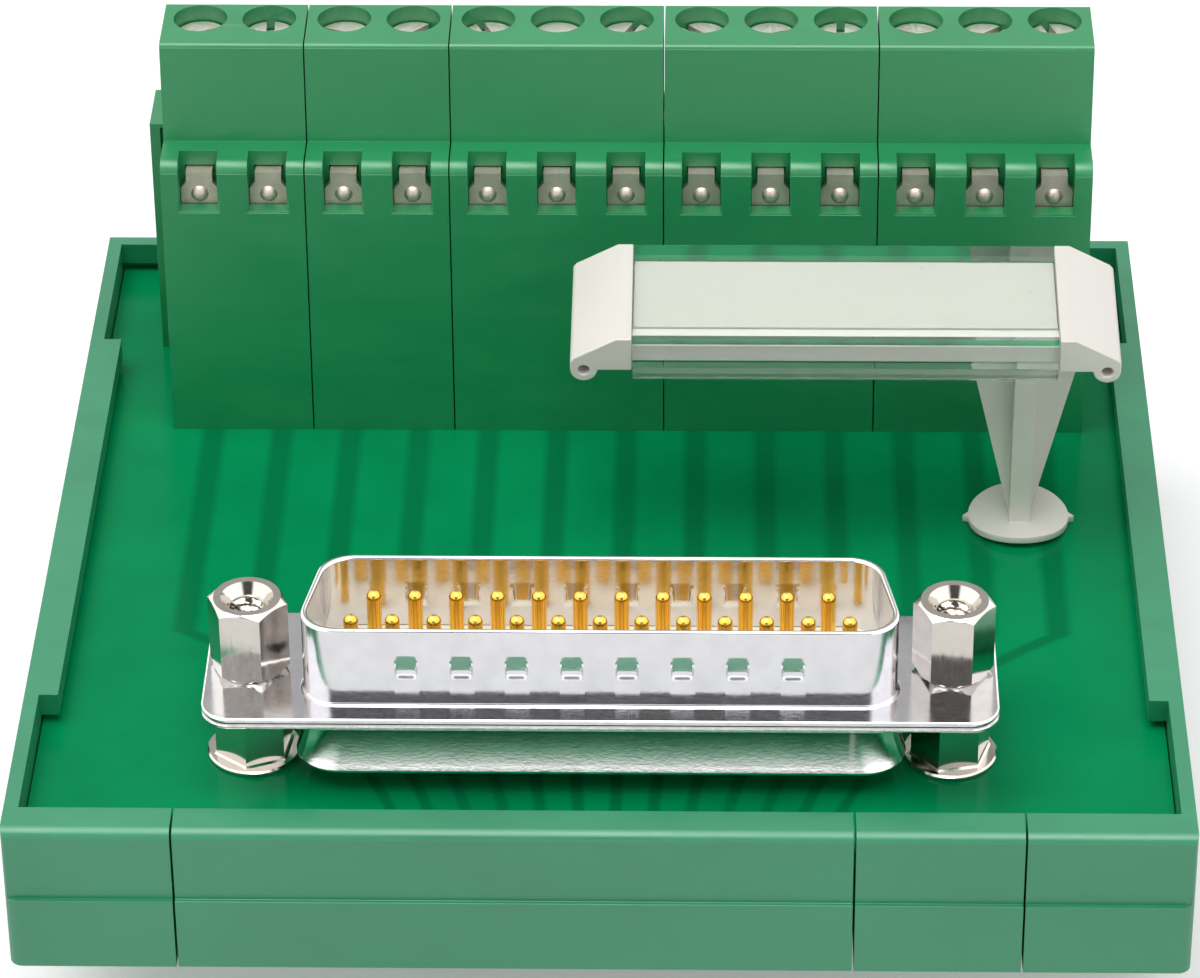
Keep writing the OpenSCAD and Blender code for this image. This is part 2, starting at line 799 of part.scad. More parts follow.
// Places its children at the grounding dents of both long walls
module at_dents() {
    for (side = [0, 1]) translate([0, plug_mid, flange_top + dent_z])
        mirror([0, side, 0]) for (i = [0:dent_count - 1])
            translate([(i - (dent_count - 1) / 2) * dent_pitch, -shell_d / 2, 0]) children();
}

module plug_front_shell() {
    inner_w = shell_w - 2 * sheet_t;
    inner_d = shell_d - 2 * sheet_t;
    color("silver") difference() {
        union() {
            flange_plate(flange_top - sheet_t);
            plug_prism(shell_w, shell_d, shell_r, flange_top - sheet_t, shell_top);
            plug_prism(shell_w + skirt_r, shell_d + skirt_r, shell_r + skirt_r / 2,
                       flange_top - sheet_t, flange_top + skirt_r / 2);
        }
        difference() {
            plug_prism(inner_w, inner_d, shell_r - sheet_t, flange_top - 1, shell_top + 1);
            at_dents() translate([-dent_w / 2, sheet_t - eps, -dent_h / 2])
                cube([dent_w, dent_depth, dent_h]);
        }
        at_dents() translate([-dent_w / 2 + 0.1, -1, -dent_h / 2 + 0.15])
            cube([dent_w - 0.2, 1 + dent_depth, dent_h - 0.3]);
    }
}

module plug_rear_shell() {
    low = flange_top - flange_t - rear_shell_drop;
    color("silver") difference() {
        union() {
            flange_plate(flange_top - flange_t);
            plug_prism(rear_shell_w, rear_shell_d, shell_r + 0.6, low + 0.8, flange_top - sheet_t);
            plug_prism(rear_shell_w - 1.2, rear_shell_d - 1.2, shell_r + 0.2, low, low + 1);
        }
        plug_prism(rear_shell_w - 2, rear_shell_d - 2, shell_r, low - 1, flange_top);
    }
}

// Places its children at every pin
module at_pins() {
    for (row = [0, 1]) for (i = [0:pins_long - 1 - row])
        translate([pin_x(i, pins_long - row), plug_mid + (row - 0.5) * row_pitch, 0]) children();
}

module plug_insulator() {
    low = flange_top - flange_t - rear_shell_drop;
    inner_w = shell_w - 2 * sheet_t - 2 * insulator_gap;
    inner_d = shell_d - 2 * sheet_t - 2 * insulator_gap;
    color("ivory") difference() {
        union() {
            plug_prism(inner_w, inner_d, shell_r - sheet_t, flange_top - 0.5,
                       flange_top + insulator_rise);
            plug_prism(rear_shell_w - 2 - 2 * insulator_gap, rear_shell_d - 2 - 2 * insulator_gap,
                       shell_r, low, flange_top - sheet_t - insulator_gap);
        }
        translate([0, 0, low - 1]) at_pins()
            cylinder(r = pin_r + 0.02, h = flange_top + insulator_rise - low + 2, $fn = 24);
    }
}

module plug_pins() {
    tip = flange_top + pin_rise;
    low = flange_top - flange_t - rear_shell_drop;
    color("gold") at_pins() {
        translate([0, 0, low]) cylinder(r = pin_r, h = tip - low, $fn = 24);
        translate([0, 0, tip]) sphere(r = pin_r, $fn = 24);
        translate([0, 0, board_z - board_t - pin_tail])
            cylinder(r = pin_tail_r(), h = low - board_z + board_t + pin_tail + eps, $fn = 16);
    }
}

// Hexagon with its flats hex_af apart and its upper corners chamfered
module hex_top_chamfer(h) {
    corner = hex_af / sqrt(3);
    intersection() {
        cylinder(r = corner, h = h, $fn = 6);
        union() {
            cylinder(r = corner + 1, h = h - 0.5);
            translate([0, 0, h - 0.5 - eps])
                cylinder(r1 = corner + 0.1, r2 = hex_af / 2 - 0.05, h = 0.5 + eps);
        }
    }
}

module jackscrews() {
    stud_low = board_z + 2.4;
    color("silver") at_jacks(jack_turn) difference() {
        union() {
            translate([0, 0, flange_top]) cylinder(r = hex_af / 2 + 0.15, h = 0.35);
            translate([0, 0, flange_top + 0.35 - eps]) hex_top_chamfer(jack_h - 0.35 + eps);
            translate([0, 0, stud_low]) cylinder(r = stud_r, h = flange_top - stud_low + eps);
        }
        translate([0, 0, flange_top + 0.6]) cylinder(r = thread_r, h = jack_h);
        translate([0, 0, flange_top + jack_h - 0.5])
            cylinder(r1 = thread_r, r2 = thread_r + 0.55, h = 0.5 + eps);
    }
}

module plug_spacers() {
    top = flange_top - flange_t;
    color("silver") at_jacks(spacer_turn) difference() {
        union() {
            translate([0, 0, board_z]) cylinder(r = spacer_disc_r, h = spacer_disc_t);
            translate([0, 0, board_z]) cylinder(r = hex_af / sqrt(3), h = top - board_z, $fn = 6);
        }
        translate([0, 0, board_z - eps]) cylinder(r = stud_r + fit_gap, h = top - board_z + 1);
    }
}

// Pan head screws that hold the spacers from under the board
module board_screws() {
    low = board_z - board_t;
    color("silver") at_jacks() difference() {
        union() {
            translate([0, 0, low - 1.4]) cylinder(r = 2.6, h = 1.4);
            translate([0, 0, low - eps]) cylinder(r = stud_r, h = board_t + 2.2);
        }
        translate([-0.35, -3, low - 1.4 - eps]) cube([0.7, 6, 0.7]);
        translate([-3, -0.35, low - 1.4 - eps]) cube([6, 0.7, 0.7]);
    }
}

// MARKER

// Frame of the marker: origin at the middle of its underside, leaning forward
module in_marker_frame() {
    translate([marker_x, stand_mid, board_z + marker_z]) rotate([marker_tilt, 0, 0]) children();
}

// Bowed spring disc that stands on the board with its left and right tips
module stand_disc() {
    reach = stand_foot_r + stand_tip;
    arch_r = (reach * reach + stand_foot_rise * stand_foot_rise) / (2 * stand_foot_rise);
    intersection() {
        union() {
            cylinder(r = stand_foot_r, h = 4 * stand_foot_t);
            linear_extrude(4 * stand_foot_t)
                polygon([[-reach, 0], [0, -stand_foot_r + 0.4], [reach, 0], [0, stand_foot_r - 0.4]]);
        }
        translate([0, reach, stand_foot_rise - arch_r]) rotate([90, 0, 0])
            linear_extrude(2 * reach) difference() {
                circle(arch_r + stand_foot_t, $fn = 120);
                circle(arch_r, $fn = 120);
            }
    }
}

// Spring disc, tapered wings, a rib across them and a snap peg through the board
module marker_stand() {
    wing_h = marker_z + cover_h;
    wing_end = wing_low + (wing_top - wing_low) * wing_h / marker_z;
    low = -board_t - 1;
    color("white") translate([stand_x, stand_mid, board_z]) difference() {
        union() {
            stand_disc();
            translate([0, wing_t / 2, stand_foot_rise]) rotate([90, 0, 0]) linear_extrude(wing_t)
                polygon([[-wing_low / 2, 0], [wing_low / 2, 0], [wing_end / 2, wing_h],
                         [-wing_end / 2, wing_h]]);
            along_x(-rib_w / 2, rib_w / 2) translate([0, stand_foot_rise])
                polygon([[-rib_low_d / 2, 0], [rib_low_d / 2, 0], [rib_top_d / 2, wing_h],
                         [-rib_top_d / 2, wing_h]]);
            translate([0, 0, low]) cylinder(r = stand_peg_r, h = stand_foot_rise - low + eps);
            translate([0, 0, low]) cylinder(r1 = stand_peg_r, r2 = stand_peg_r + 0.3, h = 0.9);
        }
        // The wings stop just under the leaning marker: its plate and its right end block
        translate([-marker_shift, 0, marker_z]) rotate([marker_tilt, 0, 0]) {
            slab([-cover_l, -cover_w, plate_z - stand_gap], [2 * cover_l, cover_w, wing_h]);
            slab([cover_l / 2 - stand_gap, -cover_w, end_low - stand_gap],
                 [2 * cover_l, cover_w, wing_h]);
            translate([cover_l / 2 + lug_x(), cover_w, end_low]) rotate([90, 0, 0])
                cylinder(r = lug_r + stand_gap, h = 2 * cover_w);
        }
        // Slit that lets the peg spring
        slab([-0.3, -3, low - eps], [0.3, 3, -0.4]);
    }
}

// Where a lug stands, from the inner end of its end block
function lug_x() = end_l - lug_r;

// Outline of an end block from the front: a sloping shoulder and a rolled lug
module end_outline() {
    top = cover_h + end_step;
    difference() {
        union() {
            polygon([[0, end_low], [0, top], [end_flat, top], [end_l - 0.25, shoulder_z + 0.1],
                     [end_l, shoulder_z - 0.2], [end_l, end_low]]);
            translate([lug_x(), end_low]) circle(lug_r);
        }
        translate([lug_x(), end_low]) circle(lug_hole_r, $fn = 24);
    }
}

module marker_carrier() {
    half = cover_l / 2;
    depth = cover_w - 0.4;
    color("white") in_marker_frame() {
        for (side = [0, 1]) mirror([side, 0, 0])
            translate([half, depth / 2, 0]) rotate([90, 0, 0])
                linear_extrude(depth) end_outline();
        // Plate under the label and the raised strip in front of it
        slab([-half - eps, plate_front, plate_z], [half + eps, plate_rear, label_z]);
        slab([-half - eps, plate_front, plate_z], [half + eps, plate_front + label_front, label_z + 0.2]);
    }
}

module marker_label() {
    half = cover_l / 2 - 0.1;
    color("ghostwhite") in_marker_frame()
        slab([-half, plate_front + label_front + cover_gap, label_z],
             [half, plate_rear, label_z + label_t]);
}

// Clear channel that wraps the plate: top, thick front and rear walls and two hooks below
module marker_cover() {
    front = plate_front - cover_gap;
    rear = plate_rear + cover_gap;
    hook_top = plate_z - cover_gap;
    color("lightcyan", 0.4) in_marker_frame()
        along_x(-cover_l / 2 + 0.05, cover_l / 2 - 0.05) difference() {
            translate([-cover_w / 2, 0]) square([cover_w, cover_h]);
            translate([front, hook_top]) square([rear - front, cover_h - cover_t - hook_top]);
            translate([front + cover_hook, -1])
                square([rear - front - 2 * cover_hook, hook_top + 1 + eps]);
        }
}

side_element_left();
base_element_wide();
base_element_narrow();
side_element_right();
for (i = [0, 1])
    rail_foot(i);
circuit_board();
for (b = [0:block_count - 1]) {
    terminal_housing(b);
    wire_clamps(b);
}
upper_contacts();
lower_contacts();
for (p = [0:poles - 1]) {
    upper_screw(p);
    lower_screw(p);
}
plug_front_shell();
plug_rear_shell();
plug_insulator();
plug_pins();
jackscrews();
plug_spacers();
board_screws();
marker_stand();
marker_carrier();
marker_label();
marker_cover();
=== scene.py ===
import json
from math import atan2, cos, degrees, hypot, pi, radians, sin, sqrt, tan

import bmesh
import bpy
from mathutils import Euler, Matrix, Vector, noise


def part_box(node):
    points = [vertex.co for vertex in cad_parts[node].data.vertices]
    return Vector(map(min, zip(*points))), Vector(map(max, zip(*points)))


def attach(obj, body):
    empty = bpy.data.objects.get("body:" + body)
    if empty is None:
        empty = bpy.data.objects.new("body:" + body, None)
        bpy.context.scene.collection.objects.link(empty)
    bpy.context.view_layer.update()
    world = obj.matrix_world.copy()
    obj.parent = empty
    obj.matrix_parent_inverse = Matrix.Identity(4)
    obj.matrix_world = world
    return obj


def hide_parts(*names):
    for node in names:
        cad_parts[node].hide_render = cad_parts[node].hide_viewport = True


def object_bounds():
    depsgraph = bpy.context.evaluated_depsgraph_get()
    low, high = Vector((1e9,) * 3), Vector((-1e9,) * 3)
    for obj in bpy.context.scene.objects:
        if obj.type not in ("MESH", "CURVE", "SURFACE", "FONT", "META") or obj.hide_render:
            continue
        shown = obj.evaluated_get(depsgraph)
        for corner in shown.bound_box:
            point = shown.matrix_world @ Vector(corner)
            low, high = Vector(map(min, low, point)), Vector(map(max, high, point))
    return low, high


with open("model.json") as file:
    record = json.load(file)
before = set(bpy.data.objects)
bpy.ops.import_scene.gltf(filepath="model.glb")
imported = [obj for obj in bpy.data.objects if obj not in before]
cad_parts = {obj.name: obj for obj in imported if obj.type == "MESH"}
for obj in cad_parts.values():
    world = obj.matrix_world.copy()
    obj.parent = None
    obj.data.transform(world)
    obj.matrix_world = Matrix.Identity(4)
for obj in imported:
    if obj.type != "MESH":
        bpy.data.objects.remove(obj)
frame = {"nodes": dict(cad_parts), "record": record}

# Lengths below are in millimetres, in the frame of the CAD model, unless they say otherwise
MM = 0.001
NODES = frame["nodes"]
ROOT = "module"
CAD_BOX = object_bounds()
POLES = 13
BLOCKS = 5

# Camera, solved from the plug's standard sizes in the photograph
CAMERA_PLACE = (7.4, -317.71, 234.86)
CAMERA_ELEVATION = 33.583
CAMERA_AZIMUTH = -1.444
CAMERA_ROLL = -0.526
CAMERA_FOCAL = 160.52
SENSOR_WIDTH = 36.0

# Plug connector
PLUG_Y = -25.75
PLUG_SLOPE = 10
SHELL_SIZE = (39.7, 9.0)
SHELL_RADIUS = 2.3
SHELL_TALL = 6.0
REAR_SIZE = (41.0, 10.6)
SHEET = 0.42
FILLET = 0.22
DENTS = [(i - 3.5) * 3.65 for i in range(8)]
DENT_SIZE = (1.4, 1.9)
DENT_HEIGHT = 3.05
DENT_DEPTH = 0.2
JACK_SPACING = 47.04
JACK_HOLE = 1.55
HEX_AF = 4.75
JACK_TURNS = (-9.0, -4.5)
SPACER_TURNS = (22.0, 12.0)
STUD_R = 1.4
THREAD_R = 1.22
THREAD_PITCH = 0.635

# Light: the world's strength for diffuse and for mirrored rays. Each dim side of the studio is
# a direction, the angles where it ends and where the white begins, and its level
WORLD_FILL = 0.36
WORLD_GLOSS = 1.7
DIM_SIDES = (((0.0, -0.84, 0.54), (15, 28), 0.05), ((0.0, 0.84, 0.54), (9, 24), 0.3))

# Tracks under the board, seen through it
TRACK_PITCH = 5.09
TRACK_MIDDLE_X = 1.06
TRACK_BEND_Y = -11.75
TRACK_FAN = 0.05
TRACK_REACH = 33.3


# SMALL HELPERS

def linear(red, green, blue):
    """A colour given as 0 to 255 per channel, as scene-linear RGBA."""
    def channel(value):
        value /= 255.0
        return value / 12.92 if value <= 0.04045 else ((value + 0.055) / 1.055) ** 2.4
    return (channel(red), channel(green), channel(blue), 1.0)


def scaled(colour, factor):
    return tuple(min(c * factor, 1.0) for c in colour[:3]) + (1.0,)


def low(node):
    """Lowest corner of a CAD node in millimetres."""
    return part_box(node)[0] / MM


def high(node):
    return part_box(node)[1] / MM


def middle(node):
    return (low(node) + high(node)) / 2


def finish_piece(name, mesh, material, body=ROOT, stands_for=(), smooth=True):
    """Links a mesh, given in millimetres, as a piece that rides on a body."""
    mesh.transform(Matrix.Scale(MM, 4))
    for polygon in mesh.polygons:
        polygon.use_smooth = smooth
    piece = bpy.data.objects.new(name, mesh)
    bpy.context.scene.collection.objects.link(piece)
    mesh.materials.append(material)
    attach(piece, body)
    if stands_for:
        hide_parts(*stands_for)
    return piece


def mesh_from(name, verts, faces):
    mesh = bpy.data.meshes.new(name)
    mesh.from_pydata(verts, [], faces)
    mesh.validate()
    mesh.update()
    return mesh


# MATERIALS

class Nodes:
    """Builds one material's nodes around a Principled shader."""

    def __init__(self, name, **inputs):
        self.material = bpy.data.materials.new(name)
        self.material.use_nodes = True
        self.tree = self.material.node_tree
        self.shader = self.tree.nodes["Principled BSDF"]
        self.coordinates = self.add("ShaderNodeTexCoord").outputs["Object"]
        for key, value in inputs.items():
            self.shader.inputs[key.replace("_", " ")].default_value = value

    def add(self, kind, **settings):
        node = self.tree.nodes.new(kind)
        for key, value in settings.items():
            setattr(node, key, value)
        return node

    def link(self, source, target):
        self.tree.links.new(source, target)

    def stretched(self, scale):
        """Object coordinates times a scale for each axis."""
        mapping = self.add("ShaderNodeMapping")
        mapping.inputs["Scale"].default_value = scale
        self.link(self.coordinates, mapping.inputs["Vector"])
        return mapping.outputs["Vector"]

    def noise(self, per_mm, detail=3.0, rough=0.55, stretch=(1, 1, 1)):
        """Noise with about per_mm features in a millimetre, from 0 to 1."""
        node = self.add("ShaderNodeTexNoise")
        node.inputs["Scale"].default_value = per_mm / MM
        node.inputs["Detail"].default_value = detail
        node.inputs["Roughness"].default_value = rough
        self.link(self.stretched(stretch), node.inputs["Vector"])
        return node.outputs["Fac"]

    def spread(self, value, low_in, high_in, low_out, high_out):
        node = self.add("ShaderNodeMapRange")
        self.link(value, node.inputs["Value"])
        for key, number in (("From Min", low_in), ("From Max", high_in),
                            ("To Min", low_out), ("To Max", high_out)):
            node.inputs[key].default_value = number
        return node.outputs["Result"]

    def mix(self, factor, first, second, blend="MIX"):
        node = self.add("ShaderNodeMix", data_type="RGBA", blend_type=blend)
        self.put(factor, node.inputs["Factor"])
        self.put(first, node.inputs[6])
        self.put(second, node.inputs[7])
        return node.outputs[2]

    def put(self, value, socket):
        if isinstance(value, bpy.types.NodeSocket):
            self.link(value, socket)
        else:
            socket.default_value = value

    def math(self, operation, first, second=0.0):
        node = self.add("ShaderNodeMath", operation=operation)
        self.put(first, node.inputs[0])
        self.put(second, node.inputs[1])
        return node.outputs[0]

    def colour(self, value):
        self.put(value, self.shader.inputs["Base Color"])

    def roughness(self, value):
        self.put(value, self.shader.inputs["Roughness"])

    def bump(self, height, depth_mm, strength=1.0):
        node = self.add("ShaderNodeBump")
        node.inputs["Distance"].default_value = depth_mm * MM
        node.inputs["Strength"].default_value = strength
        self.link(height, node.inputs["Height"])
        self.link(node.outputs["Normal"], self.shader.inputs["Normal"])


def moulded(name, colour, rough, mottle, grain):
    """Injection moulded plastic: faint flow marks, a fine satin grain and rubbed patches."""
    n = Nodes(name, Specular_IOR_Level=1.0)
    clouds = n.noise(0.05, 4.0, 0.6)
    flow = n.noise(0.35, 5.0, 0.7, (0.35, 1.0, 1.0))
    base = n.mix(n.spread(clouds, 0.35, 0.65, 0.0, 1.0),
                 scaled(colour, 1 - mottle), scaled(colour, 1 + mottle))
    base = n.mix(n.spread(flow, 0.45, 0.75, 0.0, 0.35), base, scaled(colour, 1 + 2.2 * mottle))
    n.colour(base)
    n.roughness(n.spread(flow, 0.3, 0.7, rough - 0.05, rough + 0.08))
    n.bump(n.math("ADD", n.noise(6.0, 4.0), n.math("MULTIPLY", flow, 0.8)), grain)
    return n.material


def solder_mask(name, colour, rough=0.16):
    """Glossy green lacquer over glass weave; tracks under the board show through as dark bands."""
    n = Nodes(name, Specular_IOR_Level=0.12, Specular_Tint=(0.05, 1.0, 0.6, 1.0))
    cells = n.noise(0.11, 3.0)
    base = n.mix(n.spread(cells, 0.3, 0.7, 0.0, 1.0), scaled(colour, 0.90), scaled(colour, 1.10))
    n.colour(n.mix(track_mask(n), base, scaled(colour, 0.68)))
    n.roughness(n.spread(n.noise(1.3, 3.0), 0.3, 0.7, rough - 0.03, rough + 0.05))
    weave = n.math("ADD", n.noise(1.6, 2.0, 0.5, (1.0, 0.08, 1.0)),
                   n.noise(1.6, 2.0, 0.5, (0.08, 1.0, 1.0)))
    n.bump(weave, 0.004)
    return n.material


def track_mask(n):
    """1 where a track runs: one band for each pole, drawn together towards the plug's pins."""
    split = n.add("ShaderNodeSeparateXYZ")
    n.link(n.coordinates, split.inputs[0])
    past_bend = n.math("MAXIMUM", n.math("SUBTRACT", TRACK_BEND_Y * MM, split.outputs["Y"]), 0.0)
    spread_out = n.math("ADD", n.math("MULTIPLY", past_bend, TRACK_FAN / MM), 1.0)
    across = n.math("MULTIPLY", n.math("SUBTRACT", split.outputs["X"], TRACK_MIDDLE_X * MM),
                    spread_out)
    lane = n.math("ADD", n.math("DIVIDE", across, TRACK_PITCH * MM), 0.5)
    from_middle = n.math("ABSOLUTE", n.math("SUBTRACT", n.math("FRACT", lane), 0.5))
    band = n.spread(from_middle, 0.10, 0.22, 1.0, 0.0)
    inside = n.spread(n.math("ABSOLUTE", across), TRACK_REACH * MM, (TRACK_REACH + 0.4) * MM,
                      1.0, 0.0)
    return n.math("MULTIPLY", band, inside)


def plated(name, colour, rough, brush, stretch=(1, 1, 1), spots=0.12):
    """Plated metal: a fine brush, small bright and dull spots."""
    n = Nodes(name, Metallic=1.0)
    stains = n.noise(0.5, 4.0, 0.65)
    n.colour(n.mix(n.spread(stains, 0.35, 0.75, 0.0, 1.0), colour, scaled(colour, 1 - spots)))
    lines = n.noise(7.0, 3.0, 0.6, stretch)
    n.roughness(n.spread(lines, 0.3, 0.7, rough * 0.75, rough * 1.35))
    n.bump(n.math("ADD", lines, n.math("MULTIPLY", stains, 1.5)), brush)
    return n.material


def paper(name, colour):
    n = Nodes(name, Specular_IOR_Level=0.3)
    fibres = n.noise(5.0, 5.0, 0.7, (0.4, 1.0, 1.0))
    specks = n.spread(n.noise(2.2, 1.0), 0.76, 0.79, 0.0, 0.35)
    base = n.mix(n.spread(fibres, 0.3, 0.7, 0.0, 1.0), scaled(colour, 0.97), scaled(colour, 1.02))
    n.colour(n.mix(specks, base, linear(120, 112, 100)))
    n.roughness(0.75)
    n.bump(fibres, 0.006)
    return n.material


def clear_plastic(name):
    """Clear cover: nearly colourless, with faint rub marks."""
    n = Nodes(name, Transmission_Weight=1.0, IOR=1.45)
    n.shader.inputs["Base Color"].default_value = (0.96, 0.99, 0.975, 1.0)
    marks = n.noise(1.1, 5.0, 0.7, (0.25, 1.0, 1.0))
    n.roughness(n.spread(marks, 0.5, 0.8, 0.0, 0.05))
    n.bump(marks, 0.0012)
    return n.material


CARRIER_GREEN = moulded("carrier plastic", linear(18, 125, 84), 0.42, 0.07, 0.008)
FOOT_GREEN = moulded("foot plastic", linear(14, 108, 72), 0.45, 0.06, 0.008)
TERMINAL_GREEN = moulded("terminal plastic", linear(6, 128, 73), 0.40, 0.04, 0.006)
MASK = solder_mask("solder mask", linear(0, 130, 78))
SHELL = plated("bright plating", linear(226, 225, 228), 0.14, 0.0018, (0.3, 1.0, 1.0))
REAR = plated("drawn plating", linear(232, 232, 230), 0.13, 0.004, (0.35, 1.0, 0.8))
HEX = plated("nickel", linear(216, 210, 202), 0.12, 0.0006, (1.0, 1.0, 0.2))
SCREW = plated("zinc plating", linear(222, 216, 208), 0.5, 0.004)
CLAMP = plated("clamp plating", linear(190, 186, 178), 0.3, 0.005)
TIN = plated("dull tin", linear(216, 202, 192), 0.5, 0.012, spots=0.25)
GOLD = plated("gold plating", linear(242, 194, 84), 0.2, 0.001, (1.0, 1.0, 1.0), spots=0.05)
INSULATOR = moulded("insulator plastic", linear(226, 221, 205), 0.5, 0.04, 0.005)
MARKER_WHITE = moulded("marker plastic", linear(216, 212, 205), 0.42, 0.02, 0.004)
LABEL = paper("label paper", linear(194, 193, 184))
CLEAR = clear_plastic("clear cover")

SLOT_MATERIALS = {
    "carrier_green": CARRIER_GREEN, "terminal_green": TERMINAL_GREEN, "solder_mask": MASK,
    "clamp_steel": CLAMP, "contact_tin": TIN, "screw_steel": SCREW, "shell_plating": SHELL,
    "insulator_cream": INSULATOR, "pin_gold": GOLD, "hex_nickel": HEX,
    "marker_white": MARKER_WHITE, "label_paper": LABEL, "clear_cover": CLEAR,
}


def dress_cad_nodes():
    """Every CAD node takes the material of its slot in the record."""
    for part in frame["record"]["subparts"]:
        mesh = NODES[part["node"]].data
        mesh.materials.clear()
        mesh.materials.append(SLOT_MATERIALS[part["material_slot"]])
    for side in ("left", "right"):
        NODES["rail_foot_" + side].data.materials[0] = FOOT_GREEN


def soften(node, width, segments=2, angle=30):
    """Rounds a CAD node's sharp edges, as a mould or a die leaves them."""
    piece = NODES[node]
    weld = piece.modifiers.new("weld", "WELD")
    weld.merge_threshold = 1e-6
    flat = piece.modifiers.new("merge flat faces", "DECIMATE")
    flat.decimate_type = "DISSOLVE"
    flat.angle_limit = radians(0.6)
    edges = piece.modifiers.new("rounded edges", "BEVEL")
    edges.width = width * MM
    edges.segments = segments
    edges.limit_method = "ANGLE"
    edges.angle_limit = radians(angle)
    edges.miter_outer = "MITER_ARC"
    shading = piece.modifiers.new("even shading", "WEIGHTED_NORMAL")
    shading.keep_sharp = False
    shading.weight = 60


# PLUG CONNECTOR

def plug_path(width, depth, radius, dense=()):
    """Points (x, y) round the plug's outline: wide side in front, slanted ends.

    dense gives the x positions that the two long sides need besides their ends.
    """
    slope = radians(PLUG_SLOPE)
    half_depth = depth / 2 - radius
    wide = width / 2 - radius * (1 + sin(slope)) / cos(slope) + radius * tan(slope)
    narrow = wide - 2 * half_depth * tan(slope)
    steps = 8
    corners = ((wide, -half_depth, -90, slope), (narrow, half_depth, degrees(slope), None))
    front = [x for x in dense if abs(x) < wide]
    back = [x for x in dense if abs(x) < narrow]
    path = [(x, -depth / 2) for x in front]
    (x0, y0, _, _), (x1, y1, _, _) = corners
    path += arc_points(x0, y0, radius, -90, degrees(slope), steps)
    path += arc_points(x1, y1, radius, degrees(slope), 90, steps)
    path += [(x, depth / 2) for x in reversed(back)]
    path += arc_points(-x1, y1, radius, 90, 180 - degrees(slope), steps)
    path += arc_points(-x0, y0, radius, 180 - degrees(slope), 270, steps)
    return path


def arc_points(x, y, radius, start, end, steps):
    angles = [radians(start + (end - start) * i / steps) for i in range(steps + 1)]
    return [(x + radius * cos(a), y + radius * sin(a)) for a in angles]


def loft(rings, closed_tube=True):
    """Faces between rings of equally many points; the last ring joins the first in a closed tube."""
    count = len(rings[0])
    verts = [point for ring in rings for point in ring]
    faces = []
    rows = len(rings) if closed_tube else len(rings) - 1
    for row in range(rows):
        a = row * count
        b = (row + 1) % len(rings) * count
        for i in range(count):
            j = (i + 1) % count
            faces.append((a + i, a + j, b + j, b + i))
    return verts, faces


def dent_depth(x, height):
    """How far a grounding dent is pressed in at x along the wall and at a height on it."""
    lane = min(abs(x - centre) for centre in DENTS)
    side = 1 - (lane / (DENT_SIZE[0] / 2)) ** 10
    part = (height - DENT_HEIGHT) / DENT_SIZE[1] + 0.5
    if side <= 0 or not 0 < part < 1:
        return 0.0
    # Pressed in from the top like a ramp, it curves back out below
    up = (1 - part) / 0.68 if part > 0.32 else sin(radians(90) * part / 0.32)
    return DENT_DEPTH * side ** 0.4 * up


def near_dents(reach, step):
    """Positions round every dent, close enough to draw its edges."""
    count = int(reach / step)
    fine = [centre + i * step for centre in DENTS for i in range(-count, count + 1)]
    coarse = [(DENTS[i] + DENTS[i + 1]) / 2 for i in range(len(DENTS) - 1)]
    return sorted(fine + coarse)


def shell_ring(offset, height, dents, base):
    """One ring of the front shell: offset outwards from its outer wall, height above the flange."""
    ring = []
    half = SHELL_SIZE[1] / 2
    for x, y in dents:
        size_x = (SHELL_SIZE[0] / 2 + offset) / (SHELL_SIZE[0] / 2)
        px = x * size_x
        py = y + offset * (1 if y > 0 else -1) if abs(abs(y) - half) < 1e-6 else y * (half + offset) / half
        if abs(abs(y) - half) < 1e-6 and offset <= 0:
            py -= dent_depth(x, height) * (1 if y > 0 else -1)
        ring.append((px, PLUG_Y + py, base + height))
    return ring


def front_shell():
    """Drawn shell: a fillet out of the flange, a straight wall with dents and a rounded lip."""
    top = high("plug_front_shell")[2]
    flange = low("plug_front_shell")[2] + SHEET
    tall = top - flange
    path = plug_path(*SHELL_SIZE, SHELL_RADIUS, near_dents(0.95, 0.11))
    profile = [(FILLET + 0.2, -0.12), (FILLET, 0.0)]
    for i in range(1, 7):
        turn = radians(15 * i)
        profile.append((FILLET * (1 - sin(turn)), FILLET * (1 - cos(turn))))
    rows = 26
    first = DENT_HEIGHT - DENT_SIZE[1] / 2 - 0.1
    profile += [(0.0, first + (DENT_SIZE[1] + 0.2) * i / rows) for i in range(rows + 1)]
    lip = SHEET / 2
    profile += [(-lip + lip * cos(radians(a)), tall - lip + lip * sin(radians(a)))
                for a in range(0, 181, 15)]
    profile += [(-SHEET, first + (DENT_SIZE[1] + 0.2) * i / rows) for i in range(rows, -1, -1)]
    profile += [(-SHEET, -0.12)]
    rings = [shell_ring(offset, height, path, flange) for offset, height in profile]
    verts, faces = loft(rings)
    plate_verts, plate_faces = flange_plate(flange - SHEET, flange)
    faces += [tuple(i + len(verts) for i in face) for face in plate_faces]
    mesh = mesh_from("front shell", verts + plate_verts, faces)
    piece = finish_piece("plug_front_shell_drawn", mesh, SHELL,
                         stands_for=["plug_front_shell"])
    smooth_by_angle(piece, 20)


